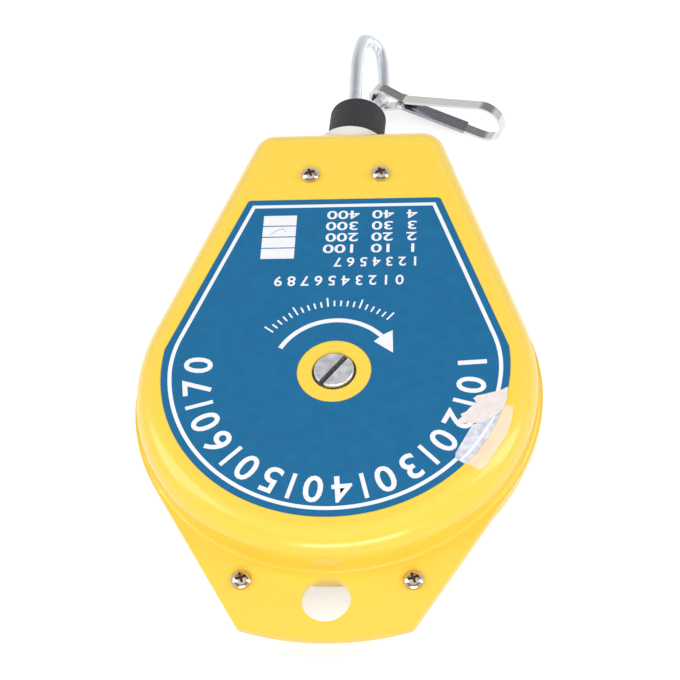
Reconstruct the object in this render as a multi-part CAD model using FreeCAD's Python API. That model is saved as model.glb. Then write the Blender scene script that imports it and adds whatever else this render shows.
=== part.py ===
"""Tool balancer: a spring-driven cable drum in a pressed steel case, with a hook on the cable.

Millimetres.  The balancer lies on its back: +Z comes out of the front cover, +Y points
to the cable end and +X is to the right.  The origin is on the drum's axis, in the plane
of the back cover's flat face.
"""
import FreeCAD
import Part
import math
import os

from FreeCAD import Vector, Placement, Rotation

# ---------------------------------------------------------------- driving sizes
# case
SHEET = 1.2               # steel sheet of both covers
CASE_DEPTH = 28.3         # over both flat faces
WALL_R = 62.4             # outer face of the round wall, from the drum axis
END_Y = 102.3             # outer face of the wall at the cable end
SIDE_ANGLE = 19.0         # lean of the two straight sides from the Y axis
CORNER_R = 8.0            # corners at the cable end, seen from the front
EDGE_R = 7.5              # soft edge between the flat face and the wall
LIP = 1.5                 # flange that stands out from the wall all round
BEND_R = 0.9              # outside bend between wall and flange
TONGUE_ANGLE = 31.6       # lean of the hanging tongue's sides from the Y axis
TONGUE_REACH = 22.0       # end of the tongue beyond the wall
TONGUE_CORNER_R = 2.0
HANG_HOLE_R = 7.2
HANG_HOLE_OUT = 9.0       # centre of the hanging hole beyond the wall
# screws
SCREW_R = 1.5
SCREW_HOLE_R = 1.7
HEAD_R = 3.05
HEAD_H = 1.9
NUT_AF = 5.5
NUT_H = 2.4
LOW_SCREW_X = 25.2
LOW_SCREW_OUT = 3.0       # below the lowest point of the wall
TOP_SCREW_X = 11.8
TOP_SCREW_IN = 22.5       # from the wall at the cable end
CLINCH_R = 2.8            # clinch nuts in the back cover
CLINCH_H = 3.5
CLINCH_AF = 7.0
CLINCH_ROOM = 0.2         # clearance round them in the cable guide
LOW_SCREW_LENGTH = 6.0
# label
LABEL_T = 0.15
LABEL_ARC_IN = 8.4        # radius of its arc less than the wall's
LABEL_ARC_Y = 2.4
LABEL_SIDE_IN = 1.4       # straight sides nearer to the arc's centre than the arc
LABEL_SIDE_ANGLE = 19.9
LABEL_TOP_IN = 33.0       # from the wall at the cable end
LABEL_CORNER_R = 1.5
LABEL_RING_R = 11.5
# adjusting shaft and its bearings
SHAFT_R = 6.15
SHAFT_PROUD = 1.0         # shaft end above the front face
SHAFT_FLAT = 5.1          # half distance over the two flats that drive the ratchet wheel
SLOT_W = 1.7
SLOT_DEPTH = 2.2
SLOT_ANGLE = 53.0
SHAFT_GAP = 0.75          # open ring round the shaft in the front cover
RUN_GAP = 0.05            # radial clearance of a running fit
FIT_GAP = 0.02            # clearance of parts that are assembled by hand
END_GAP = 0.2             # axial clearance between parts that turn against each other
BUSH_WALL = 1.4
BUSH_R = 10.0
BUSH_T = 2.0
BEARING_PLATE_R = 12.5
BEARING_PLATE_T = 1.4
WASHER_T = 0.8
# ratchet
RATCHET_TEETH = 24
RATCHET_TIP_R = 14.0
RATCHET_ROOT_R = 12.2
RATCHET_T = 3.0
RING_T = 0.7              # retaining ring
RING_GROOVE = 0.7         # depth of its groove in the shaft
RING_OUT = 2.2            # ring beyond the shaft
RING_MOUTH_IN = 1.5       # ring's mouth narrower than the shaft, each side
PAWL_ANGLE = 60.0         # where the pawl meets the wheel
PAWL_LENGTH = 18.0
PAWL_PIN_R = 2.0
PAWL_EYE_R = 4.0
PAWL_HEAD_T = 0.5
PAWL_NOSE_GAP = 0.25
PAWL_SPRING_T = 0.5
PAWL_SPRING_LEGS = (10.0, 8.0)
# rope drum
DRUM_PITCH_R = 47.0       # centre of the wound cable
DRUM_FLANGE_R = 53.0
DRUM_FLANGE_T = 1.3
DRUM_WALL = 3.0
DRUM_HUB_R = 11.5
DRUM_HUB_OVER = 3.0       # hub beyond the web, towards the back
CABLE_R = 1.0
CABLE_TURN_GAP = 0.03     # between wound turns
CABLE_OFF = 7.0           # straight end that leaves the drum
SPRING_COVER_T = 0.9
SPRING_COVER_SCREWS = 3
COVER_SCREW_R = 1.0
COVER_SCREW_GRIP = 2.8    # in the drum
COVER_SCREW_HEAD = 0.8    # head beyond the thread
COVER_SCREW_HEAD_H = 1.0
# spiral spring
SPIRAL_T = 0.8
SPIRAL_TURNS = 8
SPIRAL_SIDE_GAP = 0.35    # to the drum's web and cover
SPIRAL_INNER_GAP = 0.4    # to the anchor pin
ANCHOR_R = 1.25
ANCHOR_OUT = 2.2          # anchor pin beyond the shaft
# cable guide
GUIDE_HALF_W = 17.5
GUIDE_IN = 30.8           # its inner end, from the wall at the cable end
GUIDE_SHOULDER_IN = 7.8
SNOUT_R = 12.4
SNOUT_OUT = 2.1           # beyond that wall
SNOUT_HOLE_GAP = 0.2
GUIDE_BORE_R = 1.6
GUIDE_MOUTH_R = 4.0       # rounding of the bore's two mouths
GUIDE_FIT = 0.1           # to the covers' inner faces
# stop buffer and swivel
BUFFER_R = 9.8
BUFFER_LENGTH = 15.3
BUFFER_TILT = 3.0
BUFFER_X = 1.0            # it sits a little to the right
BUFFER_ROUND = 2.0
SOCKET_R = 5.5
SOCKET_LENGTH = 14.0
SOCKET_WALL = 1.3
SOCKET_END = 2.0
FERRULE_R = 2.6
FERRULE_LENGTH = 4.0
SWIVEL_HEAD_R = 3.9
SWIVEL_HEAD_H = 2.6
# hook
ROD_R = 2.5
HOOK_LEAN = 47.0          # the loop lies over to the right and down
HOOK_WIDTH = 13.8         # between the centres of the rod's two legs
HOOK_REACH = 59.3         # rod's centre at the top of the bend, beyond the case
HOOK_APEX_R = 5.0
HOOK_BEND = 18.6          # length of the bend along the shank
HOOK_LEG_R = 20.8         # the return leg's curve in towards the shank
HOOK_LEG = 12.5
# snap hook
STRIP_T = 1.0
STRIP_W = 3.6
SNAP_LENGTH = 52.7        # over the strip
SNAP_EYE_R = 4.87         # over the strip
SNAP_NOSE_R = 7.7         # over the strip
SNAP_NECK_S = 13.6        # neck, from the eye's far side
SNAP_NECK_GAP = 1.7       # between the two strands at the neck
SNAP_STRAND = 1.3         # free end of the lower strand beyond the neck
SNAP_RETURN = 9.0         # straight end of the strip behind the nose
GATE_T = 0.5
GATE_GAP = 0.1            # clearance of the gate's cheeks and seat
GATE_OVERLAP = 2.6        # gate over the end of the return
GATE_EAR_R = 1.8
RIVET_R = 0.5
RIVET_HEAD_R = 1.2
GATE_WIRE = 0.25
GATE_WIRE_LEG = 5.5
SNAP_EYE = (9.2, -23.8, -9.15)   # eye's centre from the top of the hook's shank line
SNAP_HEADING = -23.5      # turn about Z
SNAP_RISE = 4.6           # nose up
SNAP_BACK = 2.0           # upper side leans towards +Y

# ---------------------------------------------------------------- derived places
MID_Z = CASE_DEPTH / 2
TONGUE_R = WALL_R + TONGUE_REACH
LOW_SCREW_Y = -WALL_R - LOW_SCREW_OUT
TOP_SCREW_Y = END_Y - TOP_SCREW_IN
LABEL_ARC_R = WALL_R - LABEL_ARC_IN
LABEL_SIDE_DIST = LABEL_ARC_R - LABEL_SIDE_IN
LABEL_TOP_Y = END_Y - LABEL_TOP_IN
GUIDE_Y0 = END_Y - GUIDE_IN
GUIDE_SHOULDER_Y = END_Y - GUIDE_SHOULDER_IN
SNOUT_Y = END_Y + SNOUT_OUT
HOOK_APEX_Y = END_Y + HOOK_REACH
INNER_TOP = CASE_DEPTH - SHEET
AXIS = Vector(0, 0, MID_Z)
LIP_R = WALL_R + LIP
HOOK_AXIS = Vector(0, 1, 0)
UP = Vector(0, 0, 1)

parts = {}


def polar(r, deg, z=0.0):
    return Vector(r * math.cos(math.radians(deg)), r * math.sin(math.radians(deg)), z)


def line(a, b):
    return Part.makeLine(a, b)


def arc(centre, r, a0, a1):
    """Arc in the XY plane from angle a0 to a1, either way round."""
    mid = (a0 + a1) / 2
    p = [centre + polar(r, a) for a in (a0, mid, a1)]
    return Part.Arc(*p).toShape()


def face(edges):
    return Part.Face(Part.Wire(edges))


def polygon(points):
    return Part.Face(Part.makePolygon(points + points[:1]))


def prism(flat, z0, z1):
    """Solid between two heights, from a face drawn at z = 0."""
    solid = flat.extrude(Vector(0, 0, z1 - z0))
    solid.translate(Vector(0, 0, z0))
    return solid


def disc(r, z0, z1, centre=Vector(0, 0, 0)):
    return Part.makeCylinder(r, z1 - z0, centre + Vector(0, 0, z0))


def rod_y(r, y0, y1, x=0.0, z=None):
    return Part.makeCylinder(r, y1 - y0, Vector(x, y0, MID_Z if z is None else z), HOOK_AXIS)


def ring(r_in, r_out, z0, z1):
    return disc(r_out, z0, z1).cut(disc(r_in, z0 - 1, z1 + 1))


def vertical_edges(solid, picks):
    """Edges parallel to Z that stand at one of the given XY points."""
    found = []
    for edge in solid.Edges:
        a, b = edge.Vertexes[0].Point, edge.Vertexes[-1].Point
        if abs(a.z - b.z) > 0.1 and math.hypot(a.x - b.x, a.y - b.y) < 1e-4:
            if any(math.hypot(a.x - p.x, a.y - p.y) < 0.01 for p in picks):
                found.append(edge)
    return found


def edges_at(solid, z):
    return [e for e in solid.Edges if all(abs(v.Point.z - z) < 1e-4 for v in e.Vertexes)
            and abs(e.BoundBox.ZLength) < 1e-4]


def hairpin(r_in, wire, z0, z1, legs):
    """Coil round a pin on the Z axis, with straight legs given as (direction, length, side)."""
    spring = disc(r_in + wire, z0, z1).cut(disc(r_in, z0 - 1, z1 + 1))
    for direction, length, side in legs:
        y = r_in if side > 0 else -r_in - wire
        leg = Part.makeBox(length, wire, z1 - z0, Vector(0, y, z0))
        leg.rotate(Vector(), UP, direction)
        spring = spring.fuse(leg)
    return spring.removeSplitter()


def mirror_mid(solid):
    """The same shape on the other side of the case's middle plane."""
    return solid.mirror(AXIS, UP)


def add(name, shape):
    parts[name] = shape


# ---------------------------------------------------------------- case outlines
def side_point(r, y, sign):
    """Point on the straight side that is tangent to the circle of radius r."""
    a = math.radians(SIDE_ANGLE)
    return Vector(sign * (r - y * math.sin(a)) / math.cos(a), y, 0)


def dome_body(r, end_y, corner_r, edge_r, z0, z1):
    """Raised body of a cover: round, with two straight sides to a flat end."""
    right, left = side_point(r, end_y, 1), side_point(r, end_y, -1)
    t_right, t_left = polar(r, SIDE_ANGLE), polar(r, 180 - SIDE_ANGLE)
    outline = face([line(right, left), line(left, t_left),
                    Part.Arc(t_left, Vector(0, -r, 0), t_right).toShape(),
                    line(t_right, right)])
    body = prism(outline, z0, z1)
    body = body.makeFillet(corner_r, vertical_edges(body, [right, left]))
    return body.makeFillet(edge_r, edges_at(body, z1))


def flange_plate(z0, z1):
    """Flange: a narrow lip along the wall that widens into the hanging tongue."""
    lip_end = END_Y - CORNER_R * math.tan(math.radians((90 - SIDE_ANGLE) / 2))
    right, left = side_point(LIP_R, lip_end, 1), side_point(LIP_R, lip_end, -1)
    run = math.sqrt(TONGUE_R ** 2 - LIP_R ** 2)
    low_right, low_left = polar(LIP_R, -TONGUE_ANGLE), polar(LIP_R, 180 + TONGUE_ANGLE)
    corner = low_right + polar(run, -TONGUE_ANGLE - 90)
    mirror = Vector(-corner.x, corner.y, 0)
    edges = [line(right, left), line(left, polar(LIP_R, 180 - SIDE_ANGLE)),
             arc(Vector(), LIP_R, 180 - SIDE_ANGLE, 180 + TONGUE_ANGLE),
             line(low_left, mirror),
             Part.Arc(mirror, Vector(0, -TONGUE_R, 0), corner).toShape(),
             line(corner, low_right),
             arc(Vector(), LIP_R, -TONGUE_ANGLE, SIDE_ANGLE),
             line(polar(LIP_R, SIDE_ANGLE), right)]
    plate = prism(face(edges), z0, z1)
    return plate.makeFillet(TONGUE_CORNER_R, vertical_edges(plate, [corner, mirror]))


def wall_foot(solid, z):
    """Inside corner between wall and flange, along both sides and round the bottom."""
    found = []
    for edge in edges_at(solid, z):
        p = edge.valueAt((edge.FirstParameter + edge.LastParameter) / 2)
        n = math.radians(SIDE_ANGLE)
        side = abs(p.x) * math.cos(n) + p.y * math.sin(n)
        if min(abs(side - WALL_R), abs(math.hypot(p.x, p.y) - WALL_R)) < 0.01:
            found.append(edge)
    return found


def cover_shell():
    """Front cover as pressed, before its holes are pierced."""
    body = dome_body(WALL_R, END_Y, CORNER_R, EDGE_R, MID_Z, CASE_DEPTH)
    shell = body.fuse(flange_plate(MID_Z, MID_Z + SHEET)).removeSplitter()
    shell = shell.makeFillet(BEND_R, wall_foot(shell, MID_Z + SHEET))
    cavity = dome_body(WALL_R - SHEET, END_Y - SHEET, CORNER_R - SHEET, EDGE_R - SHEET,
                       MID_Z - 1, INNER_TOP)
    shell = shell.cut(cavity)
    holes = [disc(HANG_HOLE_R, 0, CASE_DEPTH, Vector(0, -WALL_R - HANG_HOLE_OUT, 0)),
             rod_y(SNOUT_R + SNOUT_HOLE_GAP, END_Y - SHEET - EDGE_R, END_Y + 1)]
    holes += at_low_screws(lambda p: disc(SCREW_HOLE_R, 0, CASE_DEPTH + 1, p))
    return shell.cut(holes)


def at_top_screws(make):
    return [make(Vector(s * TOP_SCREW_X, TOP_SCREW_Y, 0)) for s in (1, -1)]


def at_low_screws(make):
    return [make(Vector(s * LOW_SCREW_X, LOW_SCREW_Y, 0)) for s in (1, -1)]


def make_covers():
    shell = cover_shell()
    front = shell.cut([disc(SHAFT_R + SHAFT_GAP, INNER_TOP - 1, CASE_DEPTH + 1)]
                      + at_top_screws(lambda p: disc(SCREW_HOLE_R, MID_Z, CASE_DEPTH + 1, p)))
    add("front_cover", front)
    add("back_cover", mirror_mid(shell).cut(at_top_screws(lambda p: disc(CLINCH_R, -1, SHEET + 1, p))))


def make_label():
    a = math.radians(LABEL_SIDE_ANGLE)
    centre = Vector(0, LABEL_ARC_Y, 0)
    meet = LABEL_SIDE_ANGLE - math.degrees(math.acos(LABEL_SIDE_DIST / LABEL_ARC_R))
    low_right, low_left = centre + polar(LABEL_ARC_R, meet), centre + polar(LABEL_ARC_R, 180 - meet)
    top_x = (LABEL_SIDE_DIST - (LABEL_TOP_Y - LABEL_ARC_Y) * math.sin(a)) / math.cos(a)
    right, left = Vector(top_x, LABEL_TOP_Y, 0), Vector(-top_x, LABEL_TOP_Y, 0)
    bottom = Vector(0, LABEL_ARC_Y - LABEL_ARC_R, 0)
    plate = prism(face([line(right, left), line(left, low_left),
                        Part.Arc(low_left, bottom, low_right).toShape(),
                        line(low_right, right)]), CASE_DEPTH, CASE_DEPTH + LABEL_T)
    plate = plate.makeFillet(LABEL_CORNER_R, vertical_edges(plate, [right, left]))
    add("front_label", plate.cut(disc(LABEL_RING_R, CASE_DEPTH - 1, CASE_DEPTH + 1)))


# ---------------------------------------------------------------- fasteners
def pan_head(p, seat):
    """Domed head with a cross recess, seated at height seat."""
    rise = HEAD_H * 0.45
    profile = [Vector(0, 0, seat), Vector(HEAD_R, 0, seat), Vector(HEAD_R, 0, seat + HEAD_H - rise)]
    dome = Part.Arc(profile[2], Vector(HEAD_R * 0.74, 0, seat + HEAD_H - 0.22),
                    Vector(0, 0, seat + HEAD_H)).toShape()
    wire = Part.Wire([line(profile[0], profile[1]), line(profile[1], profile[2]), dome,
                      line(Vector(0, 0, seat + HEAD_H), profile[0])])
    head = Part.Face(wire).revolve(Vector(), UP, 360)
    for turn in (0, 90):
        slot = Part.makeBox(3.4, 0.75, 2.0, Vector(-1.7, -0.375, seat + HEAD_H - 1.3))
        slot.rotate(Vector(), UP, turn + 20)
        head = head.cut(slot)
    head.translate(p)
    return head


def screw(p, seat, length):
    return pan_head(p, seat).fuse(disc(SCREW_R, seat - length, seat + 0.3, p)).removeSplitter()


def hex_nut(p, z0, z1, flats, hole_r):
    points = [p + polar(flats / math.sqrt(3), 60 * k) for k in range(6)]
    return prism(polygon(points), z0, z1).cut(disc(hole_r, z0 - 1, z1 + 1, p))


def make_fasteners():
    flange_top, flange_low = MID_Z + SHEET, MID_Z - SHEET
    long_length = CASE_DEPTH - SHEET
    add("top_screws", Part.makeCompound(at_top_screws(lambda p: screw(p, CASE_DEPTH, long_length))))
    add("tongue_screws", Part.makeCompound(
        at_low_screws(lambda p: screw(p, flange_top, LOW_SCREW_LENGTH))))
    add("tongue_nuts", Part.makeCompound(
        at_low_screws(lambda p: hex_nut(p, flange_low - NUT_H, flange_low, NUT_AF,
                                        SCREW_R + FIT_GAP))))
    add("clinch_nuts", Part.makeCompound(at_top_screws(
        lambda p: disc(CLINCH_R - FIT_GAP, 0.1, SHEET, p)
        .fuse(hex_nut(p, SHEET, CLINCH_H, CLINCH_AF, 0.1)).removeSplitter()
        .cut(disc(SCREW_R + FIT_GAP, -1, CLINCH_H + 1, p)))))


# ---------------------------------------------------------------- shaft group
BEARING_Z = INNER_TOP - BEARING_PLATE_T
RATCHET_Z = BEARING_Z - END_GAP - RATCHET_T
RING_Z = RATCHET_Z - RING_T - FIT_GAP
WASHER_Z = SHEET + BUSH_T + END_GAP / 2
HUB_Z0 = WASHER_Z + WASHER_T + END_GAP
WEB_Z0 = HUB_Z0 + DRUM_HUB_OVER
WEB_Z1 = WEB_Z0 + DRUM_FLANGE_T
SPRING_COVER_Z1 = RING_Z - END_GAP
SPRING_COVER_Z0 = SPRING_COVER_Z1 - SPRING_COVER_T
DRUM_TOP = SPRING_COVER_Z0
SPIRAL_MID = (WEB_Z1 + DRUM_TOP) / 2


def make_shaft():
    top = CASE_DEPTH + SHAFT_PROUD
    shaft = disc(SHAFT_R, SHEET + END_GAP, top)
    shaft = shaft.makeChamfer(0.3, edges_at(shaft, top))
    slot = Part.makeBox(4 * SHAFT_R, SLOT_W, SLOT_DEPTH + 1,
                        Vector(-2 * SHAFT_R, -SLOT_W / 2, top - SLOT_DEPTH))
    slot.rotate(Vector(), UP, SLOT_ANGLE)
    flats = [Part.makeBox(4 * SHAFT_R, SHAFT_R, RATCHET_T,
                          Vector(-2 * SHAFT_R, y, RATCHET_Z))
             for y in (SHAFT_FLAT, -SHAFT_FLAT - SHAFT_R)]
    groove = ring(SHAFT_R - RING_GROOVE, SHAFT_R + 1, RING_Z - FIT_GAP, RING_Z + RING_T + FIT_GAP)
    hole = Part.makeCylinder(ANCHOR_R + FIT_GAP, SHAFT_R + 1, Vector(0, 0, SPIRAL_MID),
                             Vector(1, 0, 0))
    add("adjusting_shaft", shaft.cut([slot, groove, hole] + flats))
    pin = Part.makeCylinder(ANCHOR_R, SHAFT_R + ANCHOR_OUT, Vector(0, 0, SPIRAL_MID),
                            Vector(1, 0, 0))
    add("spring_anchor_pin", pin)
    clip = ring(SHAFT_R - RING_GROOVE + FIT_GAP, SHAFT_R + RING_OUT, RING_Z, RING_Z + RING_T)
    half_mouth = SHAFT_R - RING_MOUTH_IN
    mouth = Part.makeBox(2 * SHAFT_R, 2 * half_mouth, RING_T + 2,
                         Vector(0, -half_mouth, RING_Z - 1))
    add("retaining_ring", clip.cut(mouth))


def make_bearings():
    bore = SHAFT_R + RUN_GAP
    add("front_bearing_plate", ring(bore, BEARING_PLATE_R, BEARING_Z, INNER_TOP))
    add("back_bush", ring(bore, BUSH_R, SHEET, SHEET + BUSH_T))
    add("thrust_washer", ring(bore, BUSH_R, WASHER_Z, WASHER_Z + WASHER_T))


def ratchet_points():
    """Saw teeth: down a radial face, then up a slope to the next tip."""
    pitch = 360 / RATCHET_TEETH
    points = []
    for k in range(RATCHET_TEETH):
        a = PAWL_ANGLE + k * pitch
        points += [polar(RATCHET_TIP_R, a), polar(RATCHET_ROOT_R, a)]
    return points


def slope_r(deg):
    """Radius of the sloping flank, deg degrees past a radial face."""
    share = deg * RATCHET_TEETH / 360
    return RATCHET_ROOT_R + (RATCHET_TIP_R - RATCHET_ROOT_R) * share


def make_ratchet():
    z1 = RATCHET_Z + RATCHET_T
    wheel = prism(polygon(ratchet_points()), RATCHET_Z, z1)
    bore = disc(SHAFT_R + FIT_GAP, RATCHET_Z - 1, z1 + 1)
    half = SHAFT_FLAT + FIT_GAP
    bore = bore.common(Part.makeBox(4 * SHAFT_R, 2 * half, RATCHET_T + 4,
                                    Vector(-2 * SHAFT_R, -half, RATCHET_Z - 2)))
    add("ratchet_wheel", wheel.cut(bore))


def make_pawl():
    """Pawl in compression between a tooth's radial face and its pin."""
    z0, z1 = RATCHET_Z + 0.1, RATCHET_Z + RATCHET_T - 0.1
    nose = polar((RATCHET_ROOT_R + RATCHET_TIP_R) / 2, PAWL_ANGLE)
    pin = nose + polar(PAWL_LENGTH, PAWL_ANGLE + 90)
    gap_deg = math.degrees(PAWL_NOSE_GAP / RATCHET_TIP_R)
    tip_in = polar(slope_r(gap_deg) + PAWL_NOSE_GAP, PAWL_ANGLE + gap_deg)
    tip_out = polar(RATCHET_TIP_R + 1.2, PAWL_ANGLE + gap_deg)
    heel = polar(slope_r(9) + 3 * PAWL_NOSE_GAP, PAWL_ANGLE + 9)
    along = (pin - nose).normalize()
    side = Vector(-along.y, along.x, 0)
    blade = polygon([tip_in, tip_out, pin - side * PAWL_EYE_R * 0.8,
                     pin + side * PAWL_EYE_R * 0.6, heel])
    pawl = prism(blade, z0, z1).fuse(disc(PAWL_EYE_R, z0, z1, pin)).removeSplitter()
    add("pawl", pawl.cut(disc(PAWL_PIN_R + RUN_GAP, z0 - 1, z1 + 1, pin)))
    stud = disc(PAWL_PIN_R, RATCHET_Z - PAWL_HEAD_T, INNER_TOP, pin)
    head = disc(PAWL_PIN_R + 0.9, RATCHET_Z - PAWL_HEAD_T, RATCHET_Z, pin)
    add("pawl_pin", stud.fuse(head).removeSplitter())
    spring = hairpin(PAWL_PIN_R + 0.15, PAWL_SPRING_T, z1 + 0.15, BEARING_Z + 0.9,
                     [(PAWL_ANGLE - 60, PAWL_SPRING_LEGS[0], 1),
                      (PAWL_ANGLE + 150, PAWL_SPRING_LEGS[1], 1)])
    spring.translate(pin)
    add("pawl_spring", spring)


# ---------------------------------------------------------------- drum group
DRUM_BUSH_R = SHAFT_R + RUN_GAP + BUSH_WALL
GROOVE_R = DRUM_PITCH_R - CABLE_R
CUP_R = GROOVE_R - DRUM_WALL
SPRING_COVER_R = DRUM_PITCH_R - CABLE_R


def make_drum():
    profile = [Vector(DRUM_BUSH_R + FIT_GAP, 0, HUB_Z0), Vector(DRUM_HUB_R, 0, HUB_Z0),
               Vector(DRUM_HUB_R, 0, WEB_Z0), Vector(DRUM_FLANGE_R, 0, WEB_Z0),
               Vector(DRUM_FLANGE_R, 0, WEB_Z1), Vector(GROOVE_R, 0, WEB_Z1),
               Vector(GROOVE_R, 0, DRUM_TOP - DRUM_FLANGE_T),
               Vector(DRUM_FLANGE_R, 0, DRUM_TOP - DRUM_FLANGE_T),
               Vector(DRUM_FLANGE_R, 0, DRUM_TOP), Vector(CUP_R, 0, DRUM_TOP),
               Vector(CUP_R, 0, WEB_Z1), Vector(DRUM_BUSH_R + FIT_GAP, 0, WEB_Z1)]
    drum = polygon(profile).revolve(Vector(), UP, 360)
    step = 360 / SPRING_COVER_SCREWS
    screw_r = (CUP_R + GROOVE_R) / 2
    places = [polar(screw_r, 30 + step * k) for k in range(SPRING_COVER_SCREWS)]
    holes = [disc(COVER_SCREW_R + FIT_GAP, DRUM_TOP - COVER_SCREW_GRIP - END_GAP, DRUM_TOP + 1, p)
             for p in places]
    add("rope_drum", drum.cut(holes))
    cover = ring(SHAFT_R + RUN_GAP, SPRING_COVER_R, SPRING_COVER_Z0, SPRING_COVER_Z1)
    cover = cover.cut([disc(COVER_SCREW_R + FIT_GAP, SPRING_COVER_Z0 - 1, SPRING_COVER_Z1 + 1, p)
                       for p in places])
    add("spring_cover", cover)
    add("spring_cover_screws", Part.makeCompound(
        [disc(COVER_SCREW_R, DRUM_TOP - COVER_SCREW_GRIP, SPRING_COVER_Z1, p)
         .fuse(disc(COVER_SCREW_R + COVER_SCREW_HEAD, SPRING_COVER_Z1,
                    SPRING_COVER_Z1 + COVER_SCREW_HEAD_H, p))
         .removeSplitter() for p in places]))
    add("drum_bush", ring(SHAFT_R + RUN_GAP, DRUM_BUSH_R, HUB_Z0 - END_GAP / 2, WEB_Z1))


def make_spiral():
    """Flat spring from the shaft's anchor pin out to the drum's wall, as half turns."""
    z0, z1 = WEB_Z1 + SPIRAL_SIDE_GAP, DRUM_TOP - SPIRAL_SIDE_GAP
    inner = SHAFT_R + ANCHOR_OUT + SPIRAL_INNER_GAP
    halves = 2 * SPIRAL_TURNS
    step = (CUP_R - SPIRAL_T - FIT_GAP - inner) / halves
    edges_in, edges_out = [], []
    for k in range(halves):
        centre = Vector(step / 2 if k % 2 else -step / 2, 0, 0)
        r = inner + step * (k + 0.5)
        start = 180 * k
        edges_in.append(arc(centre, r, start, start + 180))
        edges_out.append(arc(centre, r + SPIRAL_T, start, start + 180))
    ends = [line(edges_in[-1].Vertexes[-1].Point, edges_out[-1].Vertexes[-1].Point),
            line(edges_out[0].Vertexes[0].Point, edges_in[0].Vertexes[0].Point)]
    outline = Part.Wire(Part.__sortEdges__(edges_in + edges_out + ends))
    add("spiral_spring", prism(Part.Face(outline), z0, z1))


# ---------------------------------------------------------------- cable
MOUTH_PATH_R = GUIDE_BORE_R + GUIDE_MOUTH_R
MOUTH_CENTRE = Vector(MOUTH_PATH_R, GUIDE_Y0 + GUIDE_MOUTH_R, 0)


def leave_angle():
    """Where the cable leaves the drum for the guide's rounded mouth."""
    reach = MOUTH_CENTRE.Length
    across = math.degrees(math.acos((DRUM_PITCH_R + MOUTH_PATH_R) / reach))
    return math.degrees(math.atan2(MOUTH_CENTRE.y, MOUTH_CENTRE.x)) - across


def tube(edges, r, start, direction):
    profile = Part.Wire(Part.makeCircle(r, start, direction))
    return Part.Wire(edges).makePipeShell([profile], True, True)


def make_cable():
    leave = leave_angle()
    heading = polar(1, leave + 90)
    off = polar(DRUM_PITCH_R, leave, MID_Z)
    start = off + heading * CABLE_OFF
    # cross-section of one turn: eight flats
    section = [Vector(DRUM_PITCH_R, 0, 0) + Vector(CABLE_R * math.cos(a), 0, CABLE_R * math.sin(a))
               for a in (math.pi * k / 4 for k in range(8))]
    turn = polygon(section)
    lay = 2 * CABLE_R + CABLE_TURN_GAP
    room = min(MID_Z - WEB_Z1, DRUM_TOP - DRUM_FLANGE_T - MID_Z) - CABLE_R
    each_side = int(room / lay)
    turns = []
    for k in range(-each_side, each_side + 1):
        whole = turn.revolve(Vector(), UP, 360 if k else 300)
        whole.translate(Vector(0, 0, MID_Z + k * lay))
        turns.append(whole)
    last = turns.pop(each_side)
    last.rotate(Vector(), UP, leave - 300)
    end_face = turn.copy()
    end_face.rotate(Vector(), UP, leave)
    end_face.translate(Vector(0, 0, MID_Z))
    turns.append(last.fuse(end_face.extrude(heading * (CABLE_OFF - END_GAP))).removeSplitter())
    add("wound_cable", Part.makeCompound(turns))
    # straight off the drum, round the guide's mouth and out along the case's middle
    meet = AXIS + MOUTH_CENTRE - polar(MOUTH_PATH_R, leave)
    out = AXIS + MOUTH_CENTRE - Vector(MOUTH_PATH_R, 0, 0)
    bend = arc(AXIS + MOUTH_CENTRE, MOUTH_PATH_R, leave + 180, 180)
    end = Vector(0, SNOUT_Y, MID_Z)
    add("cable_lead", tube([line(start, meet), bend, line(out, end)], CABLE_R, start, heading))
    add("cable_end", rod_y(CABLE_R, SNOUT_Y + 0.05, FERRULE_Y0 + FERRULE_LENGTH))


# ---------------------------------------------------------------- cable guide
def make_guide():
    z0, z1 = SHEET + GUIDE_FIT, INNER_TOP - GUIDE_FIT
    block = prism(polygon([Vector(-GUIDE_HALF_W, GUIDE_Y0, 0), Vector(GUIDE_HALF_W, GUIDE_Y0, 0),
                           Vector(GUIDE_HALF_W, GUIDE_SHOULDER_Y, 0),
                           Vector(-GUIDE_HALF_W, GUIDE_SHOULDER_Y, 0)]), z0, z1)
    snout = rod_y(SNOUT_R, GUIDE_SHOULDER_Y - 4, SNOUT_Y)
    rim = [e for e in snout.Edges if abs(e.BoundBox.YMin - SNOUT_Y) < 1e-4
           and e.BoundBox.YLength < 1e-4]
    snout = snout.makeFillet(1.0, rim)
    guide = block.fuse(snout).removeSplitter()
    # the bore opens to the drum in a rounded trumpet mouth
    face_centre = Vector(0, GUIDE_Y0, MID_Z)
    edge = face_centre + Vector(MOUTH_PATH_R, 0, 0)
    throat = face_centre + Vector(GUIDE_BORE_R, GUIDE_MOUTH_R, 0)
    middle = face_centre + Vector(0, GUIDE_MOUTH_R, 0)
    trumpet = face([line(face_centre, edge), arc(AXIS + MOUTH_CENTRE, GUIDE_MOUTH_R, 270, 180),
                    line(throat, middle), line(middle, face_centre)])
    cuts = [rod_y(GUIDE_BORE_R, GUIDE_Y0 - 1, SNOUT_Y + 1),
            trumpet.revolve(face_centre, HOOK_AXIS, 360)]
    cuts += at_top_screws(lambda p: disc(SCREW_HOLE_R, 0, CASE_DEPTH, p))
    cuts += at_top_screws(lambda p: hex_nut(p, 0, CLINCH_H + CLINCH_ROOM,
                                            CLINCH_AF + 2 * CLINCH_ROOM, 0.1)
                          .fuse(disc(1, 0, CLINCH_H + CLINCH_ROOM, p)))
    add("cable_guide", guide.cut(cuts))


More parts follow.
